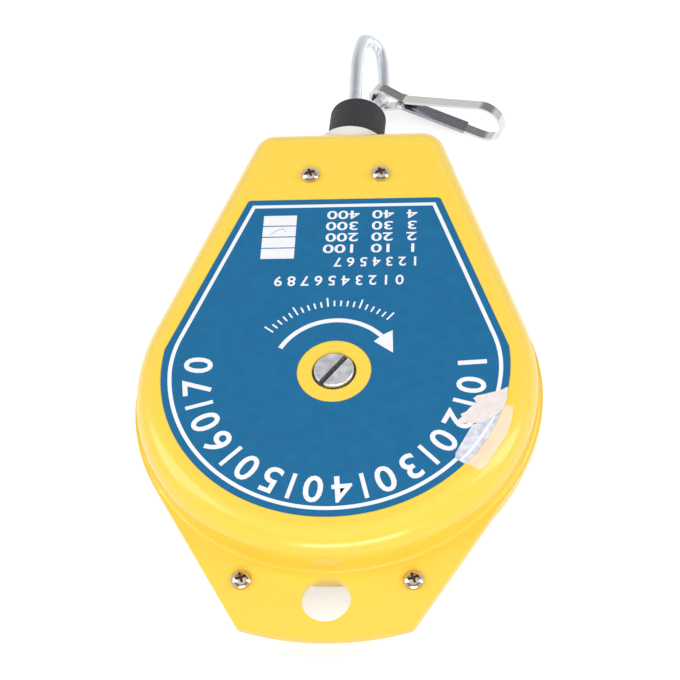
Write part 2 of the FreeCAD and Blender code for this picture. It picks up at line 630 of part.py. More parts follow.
# ---------------------------------------------------------------- buffer, swivel and hook
SOCKET_Y0 = SNOUT_Y + 0.9
SOCKET_Y1 = SOCKET_Y0 + SOCKET_LENGTH
BUFFER_Y0 = SNOUT_Y + 0.3
FERRULE_Y0 = SOCKET_Y0 + SOCKET_END
SHANK_Y0 = SOCKET_Y1 - SOCKET_END - SWIVEL_HEAD_H - END_GAP


def make_buffer():
    body = Part.makeCylinder(BUFFER_R, BUFFER_LENGTH, Vector(), HOOK_AXIS)
    body = body.makeFillet(BUFFER_ROUND, [e for e in body.Edges if e.BoundBox.YLength < 1e-4
                                          and e.BoundBox.YMin > 1])
    body = body.makeFillet(0.6, [e for e in body.Edges if e.BoundBox.YLength < 1e-4
                                 and e.BoundBox.YMax < 1e-3])
    body.rotate(Vector(), UP, -BUFFER_TILT)
    tilt_drop = BUFFER_R * math.sin(math.radians(BUFFER_TILT))
    body.translate(Vector(BUFFER_X, BUFFER_Y0 + tilt_drop, MID_Z))
    bore = rod_y(SOCKET_R + FIT_GAP, SOCKET_Y0 - FIT_GAP, SOCKET_Y1 + 5)
    small = rod_y(CABLE_R + 0.4, BUFFER_Y0 - 1, SOCKET_Y1)
    add("rubber_buffer", body.cut([bore, small]))


def make_swivel():
    socket = rod_y(SOCKET_R, SOCKET_Y0, SOCKET_Y1)
    room = rod_y(SOCKET_R - SOCKET_WALL, FERRULE_Y0, SOCKET_Y1 - SOCKET_END)
    add("swivel_socket", socket.cut([room, rod_y(CABLE_R + FIT_GAP, SOCKET_Y0 - 1, SOCKET_Y0 + 5),
                                     rod_y(ROD_R + RUN_GAP, SOCKET_Y1 - 5, SOCKET_Y1 + 1)]))
    ferrule = rod_y(FERRULE_R, FERRULE_Y0, FERRULE_Y0 + FERRULE_LENGTH)
    bore = rod_y(CABLE_R + FIT_GAP, FERRULE_Y0 - 1, FERRULE_Y0 + FERRULE_LENGTH + 1)
    add("cable_ferrule", ferrule.cut(bore))


def make_hook():
    """Rod bent to a narrow loop, drawn flat with the shank on the case's middle line."""
    half = HOOK_WIDTH / 2
    bend_y = HOOK_APEX_Y - HOOK_BEND
    top_c = Vector(half, HOOK_APEX_Y - HOOK_APEX_R, MID_Z)
    rise = HOOK_BEND - HOOK_APEX_R
    # the long side arcs touch the straight legs and the small arc at the top
    side_r = (half ** 2 + rise ** 2 - HOOK_APEX_R ** 2) / (2 * (half - HOOK_APEX_R))
    lift = math.degrees(math.atan2(rise, side_r - half))
    right_c = Vector(side_r, bend_y, MID_Z)
    left_c = Vector(HOOK_WIDTH - side_r, bend_y, MID_Z)
    sweep = math.degrees(math.asin(HOOK_LEG / HOOK_LEG_R))
    leg_c = Vector(HOOK_WIDTH - HOOK_LEG_R, bend_y, MID_Z)
    start = Vector(0, SHANK_Y0 + 0.5, MID_Z)
    path = [line(start, Vector(0, bend_y, MID_Z)),
            arc(right_c, side_r, 180, 180 - lift),
            arc(top_c, HOOK_APEX_R, 180 - lift, lift),
            arc(left_c, side_r, lift, 0),
            arc(leg_c, HOOK_LEG_R, 0, -sweep)]
    tip = leg_c + polar(HOOK_LEG_R, -sweep)
    rod = tube(path, ROD_R, start, HOOK_AXIS).fuse(Part.makeSphere(ROD_R, tip))
    head = rod_y(SWIVEL_HEAD_R, SHANK_Y0, SHANK_Y0 + SWIVEL_HEAD_H)
    hook = rod.fuse(head).removeSplitter()
    hook.rotate(AXIS, HOOK_AXIS, HOOK_LEAN)
    add("hook", hook)


# ---------------------------------------------------------------- snap hook
# drawn in its own plane: X from the eye's far side to the nose, Y towards the back
def tangent_turn(centre, r, point):
    """Angle between the way to the point and the radius where a line from it touches."""
    return math.degrees(math.acos(r / (point - centre).Length))


def make_snap():
    eye_r, nose_r = SNAP_EYE_R - STRIP_T / 2, SNAP_NOSE_R - STRIP_T / 2
    eye_c, nose_c = Vector(SNAP_EYE_R, 0, 0), Vector(SNAP_LENGTH - SNAP_NOSE_R, 0, 0)
    neck = Vector(SNAP_NECK_S, (SNAP_NECK_GAP + STRIP_T) / 2, 0)
    low = Vector(neck.x, -neck.y, 0)
    eye_a = math.degrees(math.atan2(neck.y, neck.x - eye_c.x)) + tangent_turn(eye_c, eye_r, neck)
    nose_a = math.degrees(math.atan2(neck.y, neck.x - nose_c.x)) - tangent_turn(nose_c, nose_r, neck)
    touch = nose_c + polar(nose_r, -nose_a)
    along = (touch - low).normalize()
    inward = Vector(-along.y, along.x, 0)
    ends = low + along * SNAP_STRAND, touch - along * SNAP_RETURN
    middle = Part.Wire([line(ends[0], low), line(low, eye_c + polar(eye_r, -eye_a)),
                        arc(eye_c, eye_r, 360 - eye_a, eye_a),
                        line(eye_c + polar(eye_r, eye_a), neck),
                        line(neck, nose_c + polar(nose_r, nose_a)),
                        arc(nose_c, nose_r, nose_a, -nose_a), line(touch, ends[1])])
    outline = middle.makeOffset2D(STRIP_T / 2, 0, False, False)
    strip = prism(Part.Face(outline), -STRIP_W / 2, STRIP_W / 2)
    # gate: a channel that sits over the free end of the return and pivots at the neck
    pivot = Vector(neck.x - 0.6, 0, 0)
    seat = STRIP_T / 2 + GATE_GAP
    cheek = STRIP_W / 2 + GATE_GAP
    root, tip = low + along * 1.0, ends[1] + along * GATE_OVERLAP
    rim = inward * (seat + GATE_T)
    base = polygon([root + inward * seat, tip + inward * seat, tip + rim, root + rim])
    side = polygon([low - inward * 0.3, tip - inward * 0.3, tip + rim, low + rim])
    gate = prism(base, -cheek - 0.1, cheek + 0.1)
    for z0, z1 in ((-cheek - GATE_T, -cheek), (cheek, cheek + GATE_T)):
        gate = gate.fuse([prism(side, z0, z1), disc(GATE_EAR_R, z0, z1, pivot)])
    gate = gate.removeSplitter()
    outside = cheek + GATE_T
    gate = gate.cut(disc(RIVET_R + FIT_GAP, -outside - 1, outside + 1, pivot))
    rivet = disc(RIVET_R, -outside - 0.4, outside + 0.4, pivot)
    for z0, z1 in ((-outside - 0.45, -outside), (outside, outside + 0.45)):
        rivet = rivet.fuse(disc(RIVET_HEAD_R, z0, z1, pivot))
    slope = math.degrees(math.atan2(along.y, along.x))
    wire = hairpin(RIVET_R + FIT_GAP, GATE_WIRE, -0.4, 0.4,
                   [(slope - 6, GATE_WIRE_LEG, 1), (12 - slope, GATE_WIRE_LEG, -1)])
    wire.translate(pivot)
    turn = Rotation(UP, SNAP_HEADING).multiply(Rotation(HOOK_AXIS, -SNAP_RISE))
    turn = turn.multiply(Rotation(Vector(1, 0, 0), 90 - SNAP_BACK))
    eye = Vector(0, HOOK_APEX_Y, MID_Z) + Vector(*SNAP_EYE)
    place = Placement(eye, turn).multiply(Placement(-eye_c, Rotation()))
    for name, shape in (("snap_hook_frame", strip), ("snap_hook_gate", gate),
                        ("snap_hook_rivet", rivet.removeSplitter()), ("snap_hook_spring", wire)):
        shape.Placement = place.multiply(shape.Placement)
        add(name, shape)


def main():
    os.makedirs("parts", exist_ok=True)
    make_covers()
    make_label()
    make_fasteners()
    make_shaft()
    make_bearings()
    make_ratchet()
    make_pawl()
    make_drum()
    make_spiral()
    make_cable()
    make_guide()
    make_buffer()
    make_swivel()
    make_hook()
    make_snap()
    for name, shape in parts.items():
        if not shape.isValid():
            print("not valid:", name)
        shape.exportStep("parts/" + name + ".step")
        box = shape.BoundBox
        print("%-22s solids %d volume %9.1f  x %.1f..%.1f y %.1f..%.1f z %.1f..%.1f" % (
            name, len(shape.Solids), shape.Volume, box.XMin, box.XMax, box.YMin, box.YMax,
            box.ZMin, box.ZMax))


main()
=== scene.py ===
"""Looks of the tool balancer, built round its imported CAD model.  Metres, in the part's frame."""

import math

import bmesh
import bpy
from mathutils import Matrix, Vector


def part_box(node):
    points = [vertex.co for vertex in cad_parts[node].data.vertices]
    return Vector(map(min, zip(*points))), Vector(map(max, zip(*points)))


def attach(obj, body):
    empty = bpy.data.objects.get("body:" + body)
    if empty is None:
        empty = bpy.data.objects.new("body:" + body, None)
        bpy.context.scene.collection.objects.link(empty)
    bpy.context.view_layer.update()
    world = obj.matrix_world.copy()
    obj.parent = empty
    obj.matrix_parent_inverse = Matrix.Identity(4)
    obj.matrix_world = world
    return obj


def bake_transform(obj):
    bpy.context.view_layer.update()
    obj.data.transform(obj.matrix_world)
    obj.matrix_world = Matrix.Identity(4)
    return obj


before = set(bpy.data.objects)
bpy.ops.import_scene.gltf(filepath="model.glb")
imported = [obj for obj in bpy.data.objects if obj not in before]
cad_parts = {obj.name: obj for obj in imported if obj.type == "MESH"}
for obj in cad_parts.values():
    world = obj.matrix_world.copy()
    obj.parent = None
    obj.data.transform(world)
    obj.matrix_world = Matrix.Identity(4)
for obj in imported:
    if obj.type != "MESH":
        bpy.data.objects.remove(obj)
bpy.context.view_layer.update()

MM = 0.001
FACE_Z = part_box("front_cover")[1][2]          # flat front face of the case
LABEL_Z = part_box("front_label")[1][2]         # face of the label
AXIS_Z = FACE_Z / 2                           # middle plane of the case
PRINT_T = 0.02 * MM                           # ink on the label


# ---------------------------------------------------------------- materials
NOISE_DETAIL = 3.0
RAMP_START, RAMP_END = 0.35, 0.65     # part of the noise over which the colour changes
COAT_ROUGHNESS = 0.12


def node_of(tree, kind, **values):
    """New shader node with its sockets, or else its properties, set by name."""
    node = tree.nodes.new(kind)
    for name, value in values.items():
        if name in node.inputs:
            node.inputs[name].default_value = value
        else:
            setattr(node, name, value)
    return node


def noise(tree, scale, stretch=(1, 1, 1)):
    """Noise over the piece's own coordinates, in metres; stretch draws it out."""
    where = node_of(tree, "ShaderNodeTexCoord")
    mapping = node_of(tree, "ShaderNodeMapping")
    mapping.inputs["Scale"].default_value = stretch
    tree.links.new(where.outputs["Object"], mapping.inputs["Vector"])
    cloud = node_of(tree, "ShaderNodeTexNoise", Scale=scale, Detail=NOISE_DETAIL)
    tree.links.new(mapping.outputs["Vector"], cloud.inputs["Vector"])
    return cloud.outputs["Fac"]


def ramp(tree, source, low, high):
    """Colour that runs from low to high as the source grows."""
    node = node_of(tree, "ShaderNodeValToRGB")
    stops = node.color_ramp.elements
    stops[0].position, stops[1].position = RAMP_START, RAMP_END
    stops[0].color, stops[1].color = (*low, 1), (*high, 1)
    tree.links.new(source, node.inputs["Fac"])
    return node.outputs["Color"]


def finish(name, color, rough, metallic=0.0, shade=0.06, grain=900.0, bump=0.05,
           stretch=(1, 1, 1), coat=0.0, specular=0.5, rough_spread=0.08, bump_mm=0.02):
    """A surface whose colour, roughness and height all vary a little with one noise."""
    material = bpy.data.materials.new(name)
    material.use_nodes = True
    tree = material.node_tree
    shader = tree.nodes["Principled BSDF"]
    shader.inputs["Metallic"].default_value = metallic
    shader.inputs["Coat Weight"].default_value = coat
    shader.inputs["Coat Roughness"].default_value = COAT_ROUGHNESS
    shader.inputs["Specular IOR Level"].default_value = specular
    cloud = noise(tree, grain, stretch)
    darker = [c * (1 - shade) for c in color]
    lighter = [min(1.0, c * (1 + shade)) for c in color]
    tree.links.new(ramp(tree, cloud, darker, lighter), shader.inputs["Base Color"])
    spread = node_of(tree, "ShaderNodeMapRange")
    spread.inputs["To Min"].default_value = rough - rough_spread / 2
    spread.inputs["To Max"].default_value = rough + rough_spread / 2
    tree.links.new(cloud, spread.inputs["Value"])
    tree.links.new(spread.outputs["Result"], shader.inputs["Roughness"])
    relief = node_of(tree, "ShaderNodeBump", Strength=bump, Distance=bump_mm * MM)
    tree.links.new(cloud, relief.inputs["Height"])
    tree.links.new(relief.outputs["Normal"], shader.inputs["Normal"])
    return material


def make_materials():
    return {
        "paint": finish("yellow_paint", (0.95, 0.66, 0.078), 0.22, shade=0.006, grain=260,
                        coat=0.3, specular=0.4, bump=0.015, rough_spread=0.04),
        "label": finish("label_blue", (0.010, 0.140, 0.310), 0.34, shade=0.04, grain=260,
                        bump=0.05, specular=0.25),
        "ink": finish("white_ink", (0.86, 0.87, 0.90), 0.40, shade=0.02, grain=500),
        "pen": finish("pen_purple", (0.20, 0.16, 0.48), 0.5, shade=0.1),
        "zinc": finish("zinc_plate", (0.84, 0.87, 0.92), 0.33, metallic=1.0, shade=0.03,
                       grain=500, bump=0.06),
        "nickel": finish("nickel_plate", (0.74, 0.72, 0.71), 0.16, metallic=1.0, shade=0.03,
                         grain=300, bump=0.03),
        "screw": finish("passivated_screw", (0.68, 0.56, 0.47), 0.14, metallic=1.0, shade=0.10,
                        grain=900, bump=0.08),
        # gate's base colour darker than the frame's nickel: a painted dark reflection
        "gate": finish("gate_steel_painted_reflection", (0.40, 0.39, 0.44), 0.26, metallic=1.0, shade=0.08),
        "shaft": finish("turned_steel", (0.86, 0.86, 0.92), 0.42, metallic=1.0, shade=0.14,
                        grain=420, bump=0.25, rough_spread=0.16, bump_mm=0.04),
        "spring": finish("blued_spring", (0.10, 0.11, 0.14), 0.35, metallic=1.0),
        "bronze": finish("bearing_bronze", (0.60, 0.40, 0.20), 0.42, metallic=1.0),
        "cable": finish("stranded_steel", (0.52, 0.53, 0.55), 0.38, metallic=1.0, shade=0.25,
                        grain=1400, stretch=(1, 0.3, 1), bump=0.5, bump_mm=0.1),
        "aluminium": finish("swaged_aluminium", (0.70, 0.70, 0.71), 0.4, metallic=1.0),
        "rubber": finish("black_rubber", (0.030, 0.029, 0.034), 0.62, shade=0.20, grain=800,
                         bump=0.35, specular=0.4, rough_spread=0.12, bump_mm=0.05),
        "nylon": finish("white_nylon", (0.80, 0.78, 0.73), 0.45, shade=0.02, grain=300),
        "drum": finish("black_nylon", (0.035, 0.035, 0.038), 0.5, shade=0.1),
        "paper": finish("torn_paper", (0.82, 0.74, 0.71), 0.75, shade=0.05, grain=500,
                        bump=0.5, specular=0.2, bump_mm=0.05),
        "residue": finish("adhesive_residue", (0.93, 0.72, 0.50), 0.6, shade=0.04, grain=260,
                          bump=0.3, bump_mm=0.04),
        "foil": finish("sticker_film", (0.66, 0.68, 0.76), 0.35, shade=0.18, grain=520,
                       bump=0.3, bump_mm=0.04),
        "primer": finish("bare_primer", (0.20, 0.13, 0.07), 0.6, shade=0.2),
        # painted shade, warm dark brown, laid in the screws' cross recesses
        "recess": finish("recess_painted_shade", (0.085, 0.026, 0.018), 0.35, shade=0.3),
        # painted shade, nearly black, laid in the shaft's slot
        "slot_shade": finish("painted_slot_shade", (0.035, 0.035, 0.045), 0.45, shade=0.2),
    }


NODE_FINISH = {
    "front_cover": "paint", "back_cover": "paint", "front_label": "label",
    "top_screws": "screw", "tongue_screws": "screw", "tongue_nuts": "zinc",
    "clinch_nuts": "zinc", "adjusting_shaft": "shaft", "spring_anchor_pin": "shaft",
    "retaining_ring": "spring", "front_bearing_plate": "spring", "back_bush": "bronze",
    "thrust_washer": "bronze", "ratchet_wheel": "shaft", "pawl": "shaft", "pawl_pin": "shaft",
    "pawl_spring": "spring", "rope_drum": "drum", "spring_cover": "zinc",
    "spring_cover_screws": "zinc", "drum_bush": "bronze", "spiral_spring": "spring",
    "wound_cable": "cable", "cable_lead": "cable", "cable_end": "cable",
    "cable_guide": "nylon", "rubber_buffer": "rubber", "swivel_socket": "zinc",
    "cable_ferrule": "aluminium", "hook": "zinc", "snap_hook_frame": "nickel",
    "snap_hook_gate": "gate", "snap_hook_rivet": "nickel", "snap_hook_spring": "spring",
}


def paint_nodes(materials):
    for name, finish_name in NODE_FINISH.items():
        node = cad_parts[name]
        for slot in node.material_slots:
            slot.material = materials[finish_name]


# ---------------------------------------------------------------- flat shapes
ARC_STEP = 2.0            # degrees between an arc's points


def polar(r, deg, centre=(0.0, 0.0)):
    a = math.radians(deg)
    return (centre[0] + r * math.cos(a), centre[1] + r * math.sin(a))


def arc_points(r, start, end, centre=(0.0, 0.0)):
    count = max(2, int(abs(end - start) / ARC_STEP) + 1)
    return [polar(r, start + (end - start) * k / (count - 1), centre) for k in range(count)]


def add_piece(obj, name, material, body):
    """Names the piece, gives it its material and fixes it to its body."""
    obj.name = obj.data.name = name
    obj.data.materials.clear()
    obj.data.materials.append(material)
    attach(obj, body)
    return obj


def mesh_from(curve, name):
    """Turns a curve or text object into a mesh object."""
    bpy.context.view_layer.update()
    shape = curve.evaluated_get(bpy.context.evaluated_depsgraph_get())
    mesh = bpy.data.meshes.new_from_object(shape)
    mesh.transform(curve.matrix_world)
    bpy.data.objects.remove(curve)
    obj = bpy.data.objects.new(name, mesh)
    bpy.context.scene.collection.objects.link(obj)
    return obj


def plate(name, loops, z, thick, material, body="case"):
    """Flat piece bounded by closed loops of (x, y) in millimetres; inner loops are holes."""
    curve = bpy.data.curves.new(name, "CURVE")
    curve.dimensions = "2D"
    curve.fill_mode = "BOTH"
    curve.extrude = thick / 2
    for loop in loops:
        spline = curve.splines.new("POLY")
        spline.points.add(len(loop) - 1)
        for point, (x, y) in zip(spline.points, loop):
            point.co = (x * MM, y * MM, 0, 1)
        spline.use_cyclic_u = True
    obj = bpy.data.objects.new(name, curve)
    obj.location.z = z + thick / 2
    bpy.context.scene.collection.objects.link(obj)
    return add_piece(mesh_from(obj, name), name, material, body)


# ---------------------------------------------------------------- label print
LABEL_ARC_R = 54.0
LABEL_ARC_Y = 2.4
LABEL_SIDE_DIST = 52.6
LABEL_SIDE_ANGLE = 19.9
LABEL_TOP_Y = 69.3
LABEL_BLEND_R = 38.0      # arc that eases the sides into the bottom arc
BORDER_INSET = 2.2
BORDER_W = 1.25
ARROW_R = 19.3
ARROW_W = 1.5
ARROW_START, ARROW_END = 153, 43
ARROW_HEAD = [(18.0, 6.6), (17.6, 15.2), (14.4, 13.4), (11.9, 11.0)]
SCALE_TICKS = 21
SCALE_START, SCALE_STEP = 143, 4.6
SCALE_R, SCALE_SHORT_R, SCALE_LONG_R = 24.9, 27.1, 28.4
SCALE_TICK_W = 0.55
BOX_LEFT, BOX_RIGHT, BOX_TOP = -26.1, -15.2, 62.5
BOX_COUNT, BOX_PITCH, BOX_H = 4, 4.62, 4.2
PEN_STROKE = [(-23.4, 54.5), (-22.3, 55.7), (-20.7, 56.9), (-19.5, 56.9), (-18.4, 55.8)]
PEN_W = 0.22
DIAL_R = 38.2
DIAL_H = 9.0
DIAL_START = -2.0
DIAL_STEP = 29.3
DIAL_SPREAD = 5.7         # of a number's two digits from its middle
DIAL_NUMBERS = ("10", "20", "30", "40", "50", "60", "70")
DIAL_TICK_SHORT = 0.3     # tick shorter than the digits
DIAL_TICK_W = 1.3
ROWS = ("4  40  400", "3  30  300", "2  20  200", "1  10  100")
ROW_X, ROW_TOP, ROW_PITCH, ROW_H, ROW_W = 9.5, 64.1, 4.75, 3.5, 29.6
CAP_SHARE = 0.72          # height of a digit in the font's size
BOLD = 0.02               # widening of the strokes, in digit heights


def label_outline(inset):
    """The label's outline, moved inwards: a flat top, two leaning sides and a round bottom."""
    r, side, blend = LABEL_ARC_R - inset, LABEL_SIDE_DIST - inset, LABEL_BLEND_R - inset
    a = math.radians(LABEL_SIDE_ANGLE)
    y = LABEL_TOP_Y - inset
    x = (side - (y - LABEL_ARC_Y) * math.sin(a)) / math.cos(a)
    end = LABEL_SIDE_ANGLE - math.degrees(math.acos((side - blend) / (r - blend)))
    centre = polar(r - blend, end, (0, LABEL_ARC_Y))
    right = [(x, y)] + arc_points(blend, LABEL_SIDE_ANGLE, end, centre)
    bottom = arc_points(r, end, -180 - end, (0, LABEL_ARC_Y))[1:-1]
    return right + bottom + [(-px, py) for px, py in reversed(right)]


def bar(x0, y0, x1, y1):
    return [(x0, y0), (x1, y0), (x1, y1), (x0, y1)]


def radial_bar(r0, r1, deg, width):
    """Small bar that points away from the shaft."""
    out, side = Vector(polar(1, deg)), Vector(polar(width / 2, deg + 90))
    corners = (out * r0 - side, out * r1 - side, out * r1 + side, out * r0 + side)
    return [tuple(c) for c in corners]


def digits(name, text, place, turn, height, material, width=None):
    """Plain digits, sizes in millimetres; place is the middle of their foot."""
    font = bpy.data.curves.new(name, "FONT")
    font.body = text
    font.align_x = "CENTER"
    font.size = height * MM / CAP_SHARE
    font.extrude = PRINT_T / 2
    font.offset = BOLD * height * MM
    font.resolution_u = 4
    obj = bpy.data.objects.new(name, font)
    bpy.context.scene.collection.objects.link(obj)
    bpy.context.view_layer.update()
    stretch = width * MM / obj.dimensions.x if width else 1
    obj.matrix_world = (Matrix.Translation((place[0] * MM, place[1] * MM, LABEL_Z + PRINT_T / 2))
                        @ Matrix.Rotation(math.radians(turn), 4, "Z")
                        @ Matrix.Diagonal((stretch, 1, 1, 1)))
    return add_piece(mesh_from(obj, name), name, material, "case")


def print_label(materials):
    ink = materials["ink"]
    plate("label_border", [label_outline(BORDER_INSET), label_outline(BORDER_INSET + BORDER_W)],
          LABEL_Z, PRINT_T, ink)
    print_arrow(ink)
    print_boxes(materials)
    print_dial(ink)
    print_rows(ink)


def print_arrow(ink):
    """Clockwise arrow that shows which way to turn the shaft."""
    r0, r1 = ARROW_R - ARROW_W / 2, ARROW_R + ARROW_W / 2
    band = arc_points(r0, ARROW_START, ARROW_END) + arc_points(r1, ARROW_END, ARROW_START)
    plate("arrow_arc", [band], LABEL_Z, PRINT_T, ink)
    plate("arrow_head", [ARROW_HEAD], LABEL_Z, PRINT_T, ink)
    ticks = [radial_bar(SCALE_R, SCALE_SHORT_R if k % 5 else SCALE_LONG_R,
                        SCALE_START - SCALE_STEP * k, SCALE_TICK_W) for k in range(SCALE_TICKS)]
    plate("arrow_scale", ticks, LABEL_Z, PRINT_T, ink)


def print_boxes(materials):
    """Four blank boxes, one of them ticked with a pen."""
    tops = [BOX_TOP - BOX_PITCH * k for k in range(BOX_COUNT)]
    boxes = [bar(BOX_LEFT, top - BOX_H, BOX_RIGHT, top) for top in tops]
    plate("blank_boxes", boxes, LABEL_Z, PRINT_T, materials["ink"])
    lower = [(x, y - PEN_W) for x, y in reversed(PEN_STROKE)]
    plate("pen_tick", [PEN_STROKE + lower], LABEL_Z + PRINT_T, PRINT_T / 2, materials["pen"])


def print_dial(ink):
    """Numbers and ticks round the lower edge, readable when the balancer hangs."""
    ticks = []
    for k, number in enumerate(DIAL_NUMBERS):
        middle = DIAL_START - DIAL_STEP * k
        for digit, side in zip(number, (1, -1)):
            deg = middle + side * DIAL_SPREAD
            digits(f"dial_{number}_{digit}", digit, polar(DIAL_R, deg), deg - 90, DIAL_H, ink)
        if k:
            ticks.append(radial_bar(DIAL_R, DIAL_R + DIAL_H - DIAL_TICK_SHORT,
                                    middle + DIAL_STEP / 2, DIAL_TICK_W))
    plate("dial_ticks", ticks, LABEL_Z, PRINT_T, ink)


def print_rows(ink):
    """Rows of plain numbers beside the boxes, upside down as the dial is."""
    for k, text in enumerate(ROWS):
        digits(f"row_{k}", text, (ROW_X, ROW_TOP - ROW_PITCH * k), 180, ROW_H, ink, width=ROW_W)
    digits("row_long", "1 2 3 4 5 6 7", (11.6, 44.4), 180, 3.7, ink, width=26.6)
    digits("row_wide", "0 1 2 3 4 5 6 7 8 9", (-0.2, 37.0), 180, 3.9, ink, width=41.5)


# ---------------------------------------------------------------- wear, and painted shade in the slot and the screw recesses
RECESS_ARM = 1.68         # half length of the screws' cross recess
RECESS_W = 0.36           # half width of its arms
RECESS_TURN = 20
RECESS_DEPTH = 1.3
# thickness of the painted shade plate in each screw recess
RECESS_SHADE_T = 0.45
FILM_T = 0.02
SCREW_PLACES = {"top_screws": ((11.8, 79.8), (-11.8, 79.8)),
                "tongue_screws": ((25.2, -65.4), (-25.2, -65.4))}
CHIP_PLACE = (-57.3, -23.9)
CHIP_Z = 15.36
CHIP_R_OUT, CHIP_R_IN = 0.42, 0.3
SHAFT_R = 6.15
SLOT_W = 1.66
SLOT_DEPTH = 2.2
SLOT_ANGLE = 53.0
SLOT_SHADE_SHORT = 0.15       # painted shade stops this short of the slot's ends
SLOT_SHADE_T = 0.25
EDGE_R = 7.5              # rounding between the face and the wall
EDGE_LIMIT = 0.95         # a film goes no further round it than this share
FLAT_R = 54.9             # where that rounding starts, round the shaft's axis


def face_height(x, y):
    """Height of the case's front over a point, in millimetres above the flat face."""
    over = math.hypot(x, y) - FLAT_R
    if over <= 0:
        return 0.0
    over = min(over, EDGE_R * EDGE_LIMIT)
    return math.sqrt(EDGE_R ** 2 - over ** 2) - EDGE_R


def film(name, outline, lift, material):
    """Thin film laid over the case's face and its rounded edge."""
    piece = plate(name, [outline], FACE_Z, FILM_T * MM, material)
    net = bmesh.new()
    net.from_mesh(piece.data)
    for axis in (0, 1):
        places = [point[axis] for point in outline]
        normal = (1, 0, 0) if axis == 0 else (0, 1, 0)
        for k in range(int(min(places)) + 1, int(max(places)) + 1):
            cut = Vector(normal) * k * MM
            bmesh.ops.bisect_plane(net, geom=net.verts[:] + net.edges[:] + net.faces[:],
                                   plane_co=cut, plane_no=normal)
    for vertex in net.verts:
        vertex.co.z += (face_height(vertex.co.x / MM, vertex.co.y / MM) + lift) * MM
    net.to_mesh(piece.data)
    net.free()
    return piece


def torn_sticker(materials):
    """What is left of a blank sticker at the label's right edge."""
    residue = [(51.6, -13.2), (54.6, -13.3), (54.2, -17.9), (52.9, -22.7), (51.2, -26.0),
               (49.6, -28.8), (47.6, -32.2), (46.5, -34.0), (44.5, -35.8), (42.2, -34.4),
               (40.2, -33.6), (43.5, -29.7), (46.7, -24.4), (49.0, -19.4), (50.2, -15.8)]
    film_strip = [(42.4, -20.2), (46.2, -18.6), (51.2, -14.6), (50.1, -18.2), (47.1, -24.4),
                  (43.8, -29.8), (40.4, -33.9), (38.6, -32.8), (37.4, -31.8), (37.5, -30.0)]
    paper = [(42.6, -10.7), (43.9, -9.6), (45.9, -9.2), (47.8, -8.6), (49.4, -8.2), (51.2, -7.6),
             (53.1, -6.5), (52.9, -10.2), (52.0, -13.8), (50.6, -15.6), (47.7, -17.9),
             (45.9, -18.9), (44.1, -19.5), (42.7, -19.6), (41.4, -19.2), (40.4, -19.5),
             (38.5, -20.1), (38.9, -19.3), (37.6, -19.0), (39.3, -17.3), (38.9, -16.3),
             (40.7, -15.3), (41.7, -14.0), (43.5, -12.3), (43.2, -11.3)]
    film("sticker_residue", residue, 0.03, materials["residue"])
    film("sticker_film", film_strip, 0.17, materials["foil"])
    curl = [(48.9, -16.8), (49.3, -17.6), (45.4, -24.9), (42.2, -29.8), (39.2, -33.0),
            (38.6, -32.5), (41.4, -29.0), (44.6, -24.2)]
    film("sticker_curl", curl, 0.22, materials["ink"])
    film("sticker_paper", paper, 0.20, materials["paper"])


def chip_and_slot_shade(materials):
    """A chip in the lip's paint, and painted shade: a dark plate in the shaft's slot."""
    chip = [polar(CHIP_R_OUT if k % 2 else CHIP_R_IN, 45 * k, CHIP_PLACE) for k in range(8)]
    plate("paint_chip", [chip], CHIP_Z * MM, FILM_T * MM, materials["primer"])
    along = Vector(polar(SHAFT_R - SLOT_SHADE_SHORT, SLOT_ANGLE))
    across = Vector(polar(SLOT_W / 2, SLOT_ANGLE + 90))
    corners = (along - across, along + across, -along + across, -along - across)
    floor_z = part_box("adjusting_shaft")[1][2] - SLOT_DEPTH * MM
    plate("slot_shade_plate", [[tuple(c) for c in corners]], floor_z, SLOT_SHADE_T * MM, materials["slot_shade"],
          "shaft")


def screw_recess_shade(materials):
    """Painted shade: a dark warm-brown plate in the bottom of each cross recess."""
    arm = [(RECESS_W, RECESS_ARM), (-RECESS_W, RECESS_ARM), (-RECESS_W, RECESS_W)]
    cross = []
    for quarter in range(4):
        turn = Matrix.Rotation(math.radians(90 * quarter + RECESS_TURN), 2)
        cross += [turn @ Vector(p) for p in arm]
    for node, places in SCREW_PLACES.items():
        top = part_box(node)[1][2]
        loops = [[(x + p.x, y + p.y) for p in cross] for x, y in places]
        plate(f"{node}_recess", loops, top - RECESS_DEPTH * MM, RECESS_SHADE_T * MM,
              materials["recess"])


# ---------------------------------------------------------------- cable
RUN_R = 1.02              # a little over the CAD cable, which it sleeves at both ends
RUN_SIDES, RUN_RINGS = 20, 25
RUN_IN_LEAD, RUN_IN_END = 1.5, 2.0        # how far it reaches over them


def cable_run():
    """The cable between the guide and the stop, as a straight tube."""
    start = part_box("cable_lead")[1][1] - RUN_IN_LEAD * MM
    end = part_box("cable_end")[0][1] + RUN_IN_END * MM
    radius, sides, rings = RUN_R * MM, RUN_SIDES, RUN_RINGS
    verts, faces = [], []
    for k in range(rings):
        y = start + (end - start) * k / (rings - 1)
        verts += [(radius * math.cos(a), y, AXIS_Z + radius * math.sin(a))
                  for a in (2 * math.pi * j / sides for j in range(sides))]
    for k in range(rings - 1):
        for j in range(sides):
            a, b = k * sides + j, k * sides + (j + 1) % sides
            faces.append((a, a + sides, b + sides, b))
    faces.append(tuple(range(sides)))
    faces.append(tuple(reversed(range((rings - 1) * sides, rings * sides))))
    mesh = bpy.data.meshes.new("cable_run")
    mesh.from_pydata(verts, [], faces)
    mesh.shade_smooth()
    obj = bpy.data.objects.new("cable_run", mesh)
    bpy.context.scene.collection.objects.link(obj)
    return obj, start, end


def draw_cable(materials):
    obj, start, end = cable_run()
    obj.data.materials.append(materials["cable"])
    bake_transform(obj)


